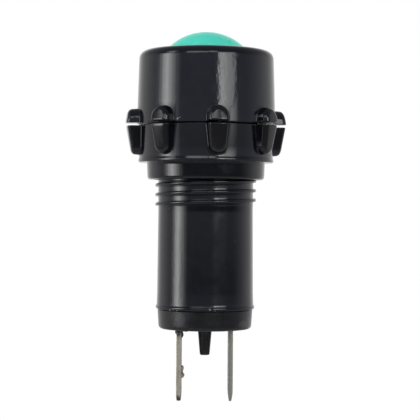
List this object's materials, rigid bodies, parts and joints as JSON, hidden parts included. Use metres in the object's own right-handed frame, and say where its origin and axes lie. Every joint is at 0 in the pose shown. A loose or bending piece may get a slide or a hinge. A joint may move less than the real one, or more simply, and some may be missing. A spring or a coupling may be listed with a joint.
{
  "type": "panel pilot light",
  "caption": "Round panel pilot light: domed lens in a screw-off lugged cap, threaded barrel with a lugged panel nut, lamp in a screw socket, and blade terminals below.",
  "frame": {"origin": "on the light's axis at the underside of the screw cap, where the panel's front face sits", "axes": "+Z along the axis towards the lens; +X across the two blade terminals, towards the right blade; +Y to the back"},
  "size_m": [0.0256, 0.0256, 0.0582],
  "materials": {
    "black_phenolic": "moulded, semi-gloss",
    "matt_phenolic": "moulded, matt",
    "lens_plastic": "moulded, milky, glossy",
    "gasket_rubber": "cut sheet, matt",
    "zinc_steel": "zinc plated, stamped",
    "tarnished_tin": "tinned brass, tarnished",
    "tin_plate": "tinned brass, dull",
    "spring_brass": "rolled, bright",
    "rivet_brass": "headed, bright",
    "fibre_board": "pressed fibre, matt",
    "nickel_brass": "nickel plated, rolled",
    "clear_glass": "blown, clear",
    "black_glass": "pressed, glossy",
    "solder": "cast, dull",
    "nickel_wire": "drawn",
    "tungsten": "drawn, coiled"
  },
  "bodies": {
    "root": {"housing": "black_phenolic", "base_plug": "matt_phenolic", "terminal_left": "tarnished_tin", "terminal_right": "tin_plate", "centre_contact": "spring_brass", "contact_disc": "fibre_board", "socket_shell": "spring_brass", "shell_rivets": "rivet_brass", "bulb_shell": "nickel_brass", "bulb_glass": "clear_glass", "bulb_insulator": "black_glass", "bulb_tip": "solder", "bulb_bead": "clear_glass", "bulb_leads": "nickel_wire", "bulb_filament": "tungsten"},
    "lens_carrier": {"lens": "lens_plastic", "lens_gasket": "gasket_rubber"},
    "cap": {"screw_cap": "black_phenolic"},
    "washer": {"panel_washer": "zinc_steel"},
    "nut": {"mounting_nut": "black_phenolic"}
  },
  "joints": [
    {"name": "cap_travel", "type": "slide", "parent": "root", "child": "lens_carrier", "axis": [0, 0, 1], "range_m": [0, 0.00825]},
    {"name": "cap_turn", "type": "hinge", "parent": "lens_carrier", "child": "cap", "pos_m": [0, 0, 0], "axis": [0, 0, 1], "range_deg": [0, 1981]},
    {"name": "nut_travel", "type": "slide", "parent": "root", "child": "washer", "axis": [0, 0, 1], "range_m": [-0.0126, 0]},
    {"name": "nut_turn", "type": "hinge", "parent": "washer", "child": "nut", "pos_m": [0, 0, 0], "axis": [0, 0, 1], "range_deg": [-3025, 0]}
  ],
  "couplings": [
    {"joint": "cap_turn", "follows": "cap_travel", "rad_per_m": 4188.8},
    {"joint": "nut_turn", "follows": "nut_travel", "rad_per_m": 4188.8}
  ]
}
